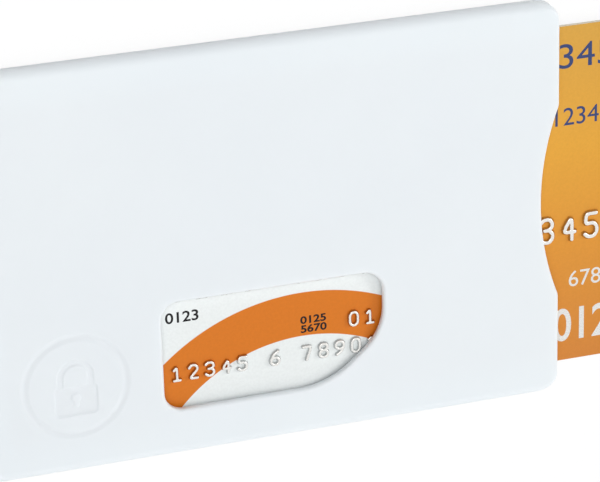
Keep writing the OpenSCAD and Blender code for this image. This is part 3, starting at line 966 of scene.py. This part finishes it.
def pad_tree():
    """Lays rounded pads in two columns beside one long middle pad."""
    tree = NodeTree("contact_pads", Centre="Vector", Rows="Int", Length="Float", Width="Float", Pitch="Float",
                    Column_Pitch="Float", Gap="Float", Corner="Float", Thickness="Float")
    node, math_of, given = tree.node, tree.math, tree.given

    def pad(length_x, length_y):
        outline = node("GeometryNodeCurvePrimitiveQuadrilateral", {"Width": length_x, "Height": length_y})
        bent = node("GeometryNodeFilletCurve", {"Curve": outline, "Count": 6, "Radius": given["Corner"]},
                    mode="POLY")
        flat = node("GeometryNodeFillCurve", {"Curve": bent})
        top = node("GeometryNodeExtrudeMesh", {
            "Mesh": flat, "Offset Scale": given["Thickness"], "Individual": False})
        under = node("GeometryNodeFlipFaces", {"Mesh": flat})
        return node("GeometryNodeMergeByDistance", {"Geometry": tree.joined(top, under), "Distance": 1e-7})

    column = math_of("MULTIPLY", math_of("SUBTRACT", given["Rows"], 1.0), given["Pitch"])
    places = node("GeometryNodeMeshGrid", {
        "Size X": given["Column Pitch"], "Size Y": column, "Vertices X": 2, "Vertices Y": given["Rows"]})
    copies = node("GeometryNodeInstanceOnPoints", {
        "Points": places, "Instance": pad(given["Length"], given["Width"])})
    between = math_of("SUBTRACT", given["Column Pitch"], given["Length"])
    middle = pad(math_of("SUBTRACT", between, math_of("MULTIPLY", given["Gap"], 2.0)),
                 math_of("ADD", column, given["Width"]))
    return tree.finish(node("GeometryNodeTransform", {
        "Geometry": tree.joined(copies, middle), "Translation": given["Centre"]}))


def track_tree():
    """Sweeps a flat track with rounded corners along a path."""
    tree = NodeTree("antenna_track", Corner="Float", Width="Float", Thickness="Float")
    node, given = tree.node, tree.given
    path = node("GeometryNodeMeshToCurve", {"Mesh": given["Geometry"]})
    bent = node("GeometryNodeFilletCurve", {"Curve": path, "Count": 4, "Radius": given["Corner"]}, mode="POLY")
    level = node("GeometryNodeSetCurveNormal", {"Curve": bent}, mode="Z_UP")
    section = node("GeometryNodeCurvePrimitiveQuadrilateral", {
        "Width": given["Width"], "Height": given["Thickness"]})
    return tree.finish(node("GeometryNodeCurveToMesh", {
        "Curve": level, "Profile Curve": section, "Fill Caps": True}))


def middle_of(low, high):
    """Middle of a box in X and Y."""
    return (low.x + high.x) / 2, (low.y + high.y) / 2


def build_contacts():
    """The woven carrier, and the plated pads on it."""
    c, (low, high) = chosen("contacts"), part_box("contact_plate")
    top = high.z - c.pad_metal
    carrier = prism("contact_carrier", rectangle(low.x, low.y, high.x, high.y, c.plate_corner), low.z, top)
    place(carrier, "card", "contact_metal", carrier_laminate(), "contact_plate")
    pads = linked("contact_pads", bpy.data.meshes.new("contact_pads"))
    pad_tree().run(pads, Centre=(*middle_of(low, high), top), Rows=c.rows, Length=c.pad_length,
                   Width=c.pad_width, Pitch=c.pad_pitch, Column_Pitch=c.column_pitch, Gap=c.pad_gap,
                   Corner=c.pad_corner, Thickness=c.pad_metal, Material=contact_gold())
    place(pads, "card", "contact_metal", contact_gold(), "contact_plate")


def build_antenna():
    """The turns with their two leads, the jumper that crosses the turns, and the posts that join them."""
    c = chosen("contacts")
    box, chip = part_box("antenna_coil"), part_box("chip_capsule")
    half, metal, pitch = c.track / 2, c.track_metal, c.coil_pitch
    mid_x, mid_y = middle_of(*CARD)
    long, wide = box[1].x - half - mid_x, box[1].y - half - mid_y
    chip_x, chip_y = middle_of(*chip)
    lead = (chip[1].y - chip[0].y) / 4
    outer = mid_x - long - pitch
    path = [(outer, chip_y - lead + half)]
    for i in range(c.turns):
        x, y = long - i * pitch, wide - i * pitch
        path += [(mid_x - x - pitch, mid_y - y), (mid_x + x, mid_y - y), (mid_x + x, mid_y + y),
                 (mid_x - x, mid_y + y)]
    path += [(path[-1][0], chip_y + lead), (chip_x + half, chip_y + lead)]
    jumper = [(outer - half, chip_y - lead), (chip_x + half, chip_y - lead)]
    points = [(x, y, box[0].z + metal / 2) for x, y in path]
    points += [(x, y, box[1].z - metal / 2) for x, y in jumper]
    mesh = bpy.data.meshes.new("antenna_track")
    mesh.from_pydata(points, [(k, k + 1) for k in range(len(points) - 1) if k != len(path) - 1], [])
    track = linked("antenna_track", mesh)
    track_tree().run(track, Corner=c.coil_corner, Width=c.track, Thickness=metal, Material=coil_copper())
    place(track, "card", "coil_copper", coil_copper(), "antenna_coil")
    posts = Skin()
    for spot in ((outer, chip_y - lead), (chip_x, chip_y + lead)):
        posts.closed(circle(spot, half, 24), [(0, box[0].z), (0, box[1].z)])
    place(posts.made("antenna_posts"), "card", "coil_copper", coil_copper(), "antenna_coil")


# Raised digits

def turned(chain):
    """The chain turned by half a turn about the middle of its digit."""
    return [(1 - x, 1 - y) for x, y in chain]


# Strokes of the ten digits, each in a square of side one
SIX = [(0.85, 1), (0.3, 0.78), (0, 0.42), (0, 0.18), (0.27, 0), (0.73, 0), (1, 0.17), (1, 0.38), (0.73, 0.55),
       (0.27, 0.55), (0, 0.42)]
STROKES = [
    [[(0.3, 0), (0.7, 0), (1, 0.2), (1, 0.8), (0.7, 1), (0.3, 1), (0, 0.8), (0, 0.2), (0.3, 0)]],
    [[(0.15, 0.78), (0.52, 1), (0.52, 0)], [(0.15, 0), (0.9, 0)]],
    [[(0, 0.8), (0.27, 1), (0.73, 1), (1, 0.82), (1, 0.62), (0, 0), (1, 0)]],
    [[(0, 0.86), (0.27, 1), (0.73, 1), (0.97, 0.84), (0.97, 0.68), (0.7, 0.53), (0.35, 0.53)],
     [(0.7, 0.53), (1, 0.37), (1, 0.17), (0.73, 0), (0.27, 0), (0, 0.14)]],
    [[(0.76, 0), (0.76, 1), (0, 0.32), (1, 0.32)]],
    [[(0.92, 1), (0.1, 1), (0.04, 0.56), (0.7, 0.6), (1, 0.42), (1, 0.18), (0.73, 0), (0.27, 0), (0, 0.12)]],
    [SIX],
    [[(0, 1), (1, 1), (0.4, 0)]],
    [[(0.27, 0.54), (0.04, 0.69), (0.04, 0.86), (0.27, 1), (0.73, 1), (0.96, 0.86), (0.96, 0.69),
      (0.73, 0.54)],
     [(0.27, 0.54), (0, 0.37), (0, 0.16), (0.27, 0), (0.73, 0), (1, 0.16), (1, 0.37), (0.73, 0.54),
      (0.27, 0.54)]],
    [turned(SIX)],
]


def eased(chain):
    """The chain with its corners cut twice, so that it bends smoothly; its ends stay."""
    closed = chain[0] == chain[-1]
    for _ in range(2):
        points = []
        for a, b in zip(chain, chain[1:]):
            points += [(a[0] * 0.8 + b[0] * 0.2, a[1] * 0.8 + b[1] * 0.2),
                       (a[0] * 0.2 + b[0] * 0.8, a[1] * 0.2 + b[1] * 0.8)]
        chain = points + [points[0]] if closed else [chain[0], *points, chain[-1]]
    return chain


def distance_to(chains, points):
    """Distance from each point to the nearest stroke, and the direction away from it."""
    best = np.full(len(points), 1e9)
    away = np.zeros_like(points)
    for chain in chains:
        for a, b in zip(chain, chain[1:]):
            a, b = np.array(a), np.array(b)
            t = np.clip(((points - a) @ (b - a)) / max((b - a) @ (b - a), 1e-18), 0, 1)
            gap = points - (a + t[:, None] * (b - a))
            span = np.linalg.norm(gap, axis=1)
            nearer = span < best
            best[nearer] = span[nearer]
            away[nearer] = gap[nearer] / np.maximum(span[nearer], 1e-9)[:, None]
    return best, away


def digit_mesh(name, value, wide, tall, crest, foot, lift, step):
    """A digit pressed up out of the card: a rounded crest on sloping flanks, closed just below its foot."""
    chains = [[((x - 0.5) * wide, (y - 0.5) * tall) for x, y in eased(chain)] for chain in STROKES[value]]
    reach_x, reach_y = wide / 2 + foot + step, tall / 2 + foot + step
    nx, ny = math.ceil(2 * reach_x / step), math.ceil(2 * reach_y / step)
    grid = np.array([((i / nx * 2 - 1) * reach_x, (j / ny * 2 - 1) * reach_y)
                     for j in range(ny + 1) for i in range(nx + 1)])
    far, away = distance_to(chains, grid)
    kept = far < foot + 0.6 * step
    cells = []
    for j in range(ny):
        for i in range(nx):
            a = j * (nx + 1) + i
            corners = (a, a + 1, a + nx + 2, a + nx + 1)
            if all(kept[c] for c in corners):
                cells.append(corners)
    once = {}
    for cell in cells:
        for edge in zip(cell, cell[1:] + cell[:1]):
            key = tuple(sorted(edge))
            once[key] = edge if key not in once else None
    border = [edge for edge in once.values() if edge]
    for v in {v for edge in border for v in edge}:
        for _ in range(2):
            gap, out = distance_to(chains, grid[v:v + 1])
            grid[v] += (foot - gap[0]) * out[0]
    far, _ = distance_to(chains, grid)
    t = np.clip((far - crest) / (foot - crest), 0, 1)
    height = lift * (1 - t * t * (3 - 2 * t))
    used = sorted({v for cell in cells for v in cell})
    index = {v: k for k, v in enumerate(used)}
    total = len(used)
    sunk = -0.04 * MM
    points = [(*grid[v], height[v]) for v in used] + [(*grid[v], sunk) for v in used]
    faces = [tuple(index[v] for v in cell) for cell in cells]
    faces += [tuple(index[v] + total for v in reversed(cell)) for cell in cells]
    for start, end in border:
        a, b = index[start], index[end]
        faces.append((b, a, a + total, b + total))
    mesh = bpy.data.meshes.new(name)
    mesh.from_pydata(points, [], faces)
    mesh.polygons.foreach_set("use_smooth", [True] * len(faces))
    return mesh


def digit_row_tree():
    """Puts the right raised digit at each place of a row."""
    tree = NodeTree("digit_row", Start="Vector", Pitch="Float", Digits="Collection")
    node, given = tree.node, tree.given
    place_in_row = node("GeometryNodeInputNamedAttribute", {"Name": "place"}, data_type="FLOAT")
    offset = node("ShaderNodeCombineXYZ", {"X": tree.math("MULTIPLY", place_in_row, given["Pitch"])})
    spot = node("ShaderNodeVectorMath", {0: offset, 1: given["Start"]}, operation="ADD")
    moved = node("GeometryNodeSetPosition", {"Geometry": given["Geometry"], "Position": spot})
    pick = node("GeometryNodeCollectionInfo", {
        "Collection": given["Digits"], "Separate Children": True, "Reset Children": True})
    value = node("GeometryNodeInputNamedAttribute", {"Name": "digit"}, data_type="INT")
    return tree.finish(node("GeometryNodeInstanceOnPoints", {
        "Points": moved, "Instance": pick, "Pick Instance": True, "Instance Index": value}))


def digit_row(name, text, start, pitch, digits, tree):
    """A row of raised digits; a space in the text leaves a place empty."""
    places = [(k, int(c)) for k, c in enumerate(text) if c != " "]
    mesh = bpy.data.meshes.new(name)
    mesh.from_pydata([(0, 0, 0)] * len(places), [], [])
    mesh.attributes.new("place", "FLOAT", "POINT").data.foreach_set("value", [float(k) for k, _ in places])
    mesh.attributes.new("digit", "INT", "POINT").data.foreach_set("value", [c for _, c in places])
    obj = linked(name, mesh)
    tree.run(obj, Start=start, Pitch=pitch, Digits=digits, Material=raised_print())
    return obj


def digit_set(name, **sizes):
    """A collection of the ten digits, which the scene doesn't show."""
    group = bpy.data.collections.new(name)
    for value in range(10):
        label = f"{name}_{value}"
        group.objects.link(bpy.data.objects.new(label, digit_mesh(label, value, **sizes)))
    return group


def build_raised_digits():
    """The long row of large digits, and the small row and the date."""
    c = chosen("card")
    x0, y0, z = CARD[0].x, CARD[0].y, CARD[1].z
    large = digit_set("large_digit", wide=c.digit_width, tall=c.digit_height, crest=0.2 * MM, foot=0.52 * MM,
                      lift=c.emboss, step=0.09 * MM)
    small = digit_set("small_digit", wide=c.small_width, tall=c.small_height, crest=0.12 * MM, foot=0.36 * MM,
                      lift=c.emboss, step=0.06 * MM)
    tree = digit_row_tree()
    for name, text, x, y, pitch, digits, node in (
            ("raised_number_digits", "0123 4567 8901 2345", c.number_x, c.number_y, c.digit_pitch, large,
             "raised_number"),
            ("raised_row_digits", "12345 6 78901", c.row_x, c.row_y, c.small_pitch, small, "raised_rows"),
            ("raised_date_digits", "01 23", c.date_x, c.date_y, c.small_pitch, small, "raised_rows")):
        row = digit_row(name, text, (x0 + x, y0 + y, z), pitch, digits, tree)
        place(row, "card", "raised_digits", raised_print(), node)
    for group in (large, small):
        discard(group.objects)
        bpy.data.collections.remove(group)


# Printed digits of each ink: the text, its place from the card's lower left corner and its height in
# millimetres, its width as a share of the font's, and how much bolder it is in millimetres
PRINTED = {
    "printed_black_digits": ("ink", [
        ("0123", 8.85, 16.3, 1.72, 1.12, 0.04), ("0125", 29.6, 12.95, 1.2, 1.25, 0.045),
        ("5670", 29.6, 11.5, 1.2, 1.25, 0.045)]),
    "printed_blue_digits": ("blue", [
        ("2345", 67.4, 47.4, 4.0, 1.15, 0.0), ("012345", 67.6, 38.4, 2.9, 1.0, 0.0)]),
    "printed_white_digits": ("white_ink", [
        ("678", 72.6, 12.1, 2.7, 1.0, 0.0), ("9012", 66.9, 3.3, 5.5, 0.85, 0.1)]),
}
# Height of the font's digits as a share of its size
FONT_HEIGHT = 0.73


def build_printed_digits():
    """Plain digits on the card's front, one thin piece for each colour of ink."""
    c = chosen("card")
    for name, (ink, rows) in PRINTED.items():
        joined = bmesh.new()
        for text, x, y, high, wide, bolder in rows:
            curve = bpy.data.curves.new(name, "FONT")
            curve.body, curve.size = text, high * MM / FONT_HEIGHT
            curve.offset, curve.extrude, curve.resolution_u = bolder * MM, c.ink / 2, 6
            words = linked(name, curve)
            mesh = baked(words)
            bpy.data.objects.remove(words)
            mesh.transform(Matrix.Diagonal((wide, 1, 1, 1)))
            mesh.transform(Matrix.Translation((
                CARD[0].x + x * MM, CARD[0].y + y * MM, CARD[1].z + c.ink / 2)))
            joined.from_mesh(mesh)
            bpy.data.meshes.remove(mesh)
        mesh = bpy.data.meshes.new(name)
        joined.to_mesh(mesh)
        joined.free()
        obj = linked(name, mesh)
        smooth(obj, weigh=False)
        place(obj, "card", "card_front_print", printed_ink(ink))


# Stage

# The camera: its place in millimetres, and the directions to its right and behind it
CAMERA_PLACE = (-117.875, 164.738, 387.857)
CAMERA_RIGHT = (0.94916, -0.02705, 0.31364)
CAMERA_BACK = (-0.28072, 0.37816, 0.88215)

# Width and place of each lamp, in metres
LAMPS = {"key": (0.3, (0.65, 0.18, 0.42)), "fill": (0.4, (-0.27, 0.36, 0.66))}

# The sky's dark patch: its direction, and the cosines at its outer and inner edge
PATCH = ((-0.304, 0.862, 0.406), 0.56, 0.9)


def build_camera():
    """The camera, with its right made square to the direction behind it."""
    data = bpy.data.cameras.new("camera")
    data.lens, data.sensor_width, data.sensor_fit = chosen("stage").lens, 36, "HORIZONTAL"
    data.clip_start, data.clip_end = 0.01, 20
    camera = linked("camera", data)
    back = Vector(CAMERA_BACK).normalized()
    right = Vector(CAMERA_RIGHT)
    right = (right - back * right.dot(back)).normalized()
    turn = Matrix((right, back.cross(right), back)).transposed().to_4x4()
    camera.matrix_world = Matrix.Translation(Vector(CAMERA_PLACE) * MM) @ turn
    bpy.context.scene.camera = camera


def build_lamps():
    """Round lamps that point at the object, with the powers that the stage's values give."""
    for name, (size, where) in LAMPS.items():
        lamp = bpy.data.lights.new(name, "AREA")
        lamp.energy, lamp.shape, lamp.size = getattr(chosen("stage"), name), "DISK", size
        turn = Vector(where).to_track_quat("Z", "Y").to_matrix().to_4x4()
        linked(name, lamp).matrix_world = Matrix.Translation(where) @ turn


def plain_rays(w):
    """One for the rays that see the plain background: those of the camera, of gloss and of glass."""
    path = w.node("ShaderNodeLightPath").outputs
    total = w.math("MAXIMUM", path["Is Camera Ray"], path["Is Glossy Ray"])
    return w.math("MAXIMUM", total, path["Is Transmission Ray"])


def build_sky():
    """Soft light from all round: brighter overhead, darker towards +Y, and with a dark patch there."""
    stage, world = chosen("stage"), bpy.data.worlds.new("studio")
    bpy.context.scene.world = world
    world.use_nodes = True
    w = Wiring(world.node_tree)
    direction = w.node("ShaderNodeTexCoord").outputs["Generated"]
    _, across, up = w.node("ShaderNodeSeparateXYZ", {0: direction}).outputs
    height = w.math("MAXIMUM", up, 0.0)
    dome = w.math("MULTIPLY_ADD", w.math("POWER", height, 2.0), stage.top, stage.rim)
    sides = w.math("MULTIPLY_ADD", across, -stage.side, 1.0)
    centre, outer, inner = PATCH
    near = w.node("ShaderNodeVectorMath", {0: direction, 1: centre}, operation="DOT_PRODUCT")
    dark = w.remap(near.outputs["Value"], outer, inner, 1.0, 0.0, soft=True)
    light = w.tree.nodes["Background"]
    w.feed(light.inputs["Color"], (1, 1, 1, 1))
    w.feed(light.inputs["Strength"], w.math("MULTIPLY", w.math("MULTIPLY", dome, sides), dark))
    seen = w.node("ShaderNodeBackground", {0: (1, 1, 1, 1), 1: 1.0})
    mixed = w.node("ShaderNodeMixShader", {0: plain_rays(w), 1: light, 2: seen})
    w.feed(w.tree.nodes["World Output"].inputs[0], mixed)


def build_floor():
    """A floor that looks plain white, and that keeps a little of the object's shadow."""
    half, z = 3.0, CAD_BOX[0].z - 0.02 * MM
    mesh = bpy.data.meshes.new("floor")
    mesh.from_pydata([(-half, -half, z), (half, -half, z), (half, half, z), (-half, half, z)], [],
                     [(0, 1, 2, 3)])
    material = bpy.data.materials.new("white_floor")
    material.use_nodes = True
    w = Wiring(material.node_tree)
    plain = w.tree.nodes["Principled BSDF"]
    for key, value in (("Base Color", (0.93, 0.93, 0.93, 1)), ("Roughness", 0.9), ("Specular IOR Level", 0.1)):
        w.feed(plain.inputs[key], value)
    glow = w.node("ShaderNodeEmission", {"Strength": 1.02})
    share = w.math("MULTIPLY", plain_rays(w), 0.85)
    mixed = w.node("ShaderNodeMixShader", {0: share, 1: plain, 2: glow})
    w.feed(w.tree.nodes["Material Output"].inputs[0], mixed)
    mesh.materials.append(material)
    linked("floor", mesh)


def build_stage():
    bpy.context.scene.view_settings.view_transform = "Standard"
    build_camera()
    build_lamps()
    build_sky()
    build_floor()


# Operators and panel

class CARDSLEEVE_OT_stage(bpy.types.Operator):
    """Make the camera, the light and the floor"""
    bl_idname = "cardsleeve.stage"
    bl_label = "Stage"

    def execute(self, context):
        build_stage()
        return {"FINISHED"}


class CARDSLEEVE_OT_front(bpy.types.Operator):
    """Make the front moulding with its window and badge"""
    bl_idname = "cardsleeve.front"
    bl_label = "Front moulding"

    def execute(self, context):
        build_front_shell()
        return {"FINISHED"}


class CARDSLEEVE_OT_back(bpy.types.Operator):
    """Make the back moulding with its rails and pins"""
    bl_idname = "cardsleeve.back"
    bl_label = "Back moulding"

    def execute(self, context):
        build_back_shell()
        return {"FINISHED"}


class CARDSLEEVE_OT_shields(bpy.types.Operator):
    """Dress the two metal shields"""
    bl_idname = "cardsleeve.shields"
    bl_label = "Shields"

    def execute(self, context):
        for node in ("front_shield", "back_shield"):
            paint(frame["nodes"][node], shield_foil())
        return {"FINISHED"}


class CARDSLEEVE_OT_sheets(bpy.types.Operator):
    """Dress the card's sheets, stripe, panel and chip capsule"""
    bl_idname = "cardsleeve.sheets"
    bl_label = "Card sheets"

    def execute(self, context):
        nodes = frame["nodes"]
        paint(nodes["card_front_sheet"], card_front())
        paint(nodes["card_back_sheet"], card_back_print())
        paint(nodes["chip_capsule"], capsule_resin())
        paint(nodes["magnetic_stripe"], stripe_coating())
        paint(nodes["signature_panel"], panel_coating())
        return {"FINISHED"}


class CARDSLEEVE_OT_contacts(bpy.types.Operator):
    """Make the contact pads and the antenna"""
    bl_idname = "cardsleeve.contacts"
    bl_label = "Contacts and antenna"

    def execute(self, context):
        build_contacts()
        build_antenna()
        return {"FINISHED"}


class CARDSLEEVE_OT_digits(bpy.types.Operator):
    """Make the raised and the printed digits"""
    bl_idname = "cardsleeve.digits"
    bl_label = "Digits"

    def execute(self, context):
        build_raised_digits()
        build_printed_digits()
        return {"FINISHED"}


class CARDSLEEVE_PT_panel(bpy.types.Panel):
    """Lists what the card sleeve is made of"""
    bl_idname = "CARDSLEEVE_PT_panel"
    bl_label = "Card sleeve"
    bl_space_type = "VIEW_3D"
    bl_region_type = "UI"
    bl_category = "Card sleeve"

    def draw(self, context):
        for operator in OPERATORS:
            self.layout.operator(operator.bl_idname)
        for name in GROUPS:
            box = self.layout.box()
            group = getattr(context.scene, name)
            for key in group.bl_rna.properties.keys():
                if key not in ("rna_type", "name"):
                    box.prop(group, key)


OPERATORS = (
    CARDSLEEVE_OT_stage, CARDSLEEVE_OT_front, CARDSLEEVE_OT_back, CARDSLEEVE_OT_shields,
    CARDSLEEVE_OT_sheets, CARDSLEEVE_OT_contacts, CARDSLEEVE_OT_digits,
)
CLASSES = (*GROUPS.values(), *OPERATORS, CARDSLEEVE_PT_panel)


def register():
    for cls in CLASSES:
        bpy.utils.register_class(cls)
    for name, group in GROUPS.items():
        setattr(bpy.types.Scene, name, bpy.props.PointerProperty(type=group))


def unregister():
    for name in GROUPS:
        delattr(bpy.types.Scene, name)
    for cls in reversed(CLASSES):
        bpy.utils.unregister_class(cls)


def main():
    register()
    for step in ("stage", "front", "back", "shields", "sheets", "contacts", "digits"):
        getattr(bpy.ops.cardsleeve, step)()


if __name__ == "__main__":
    main()
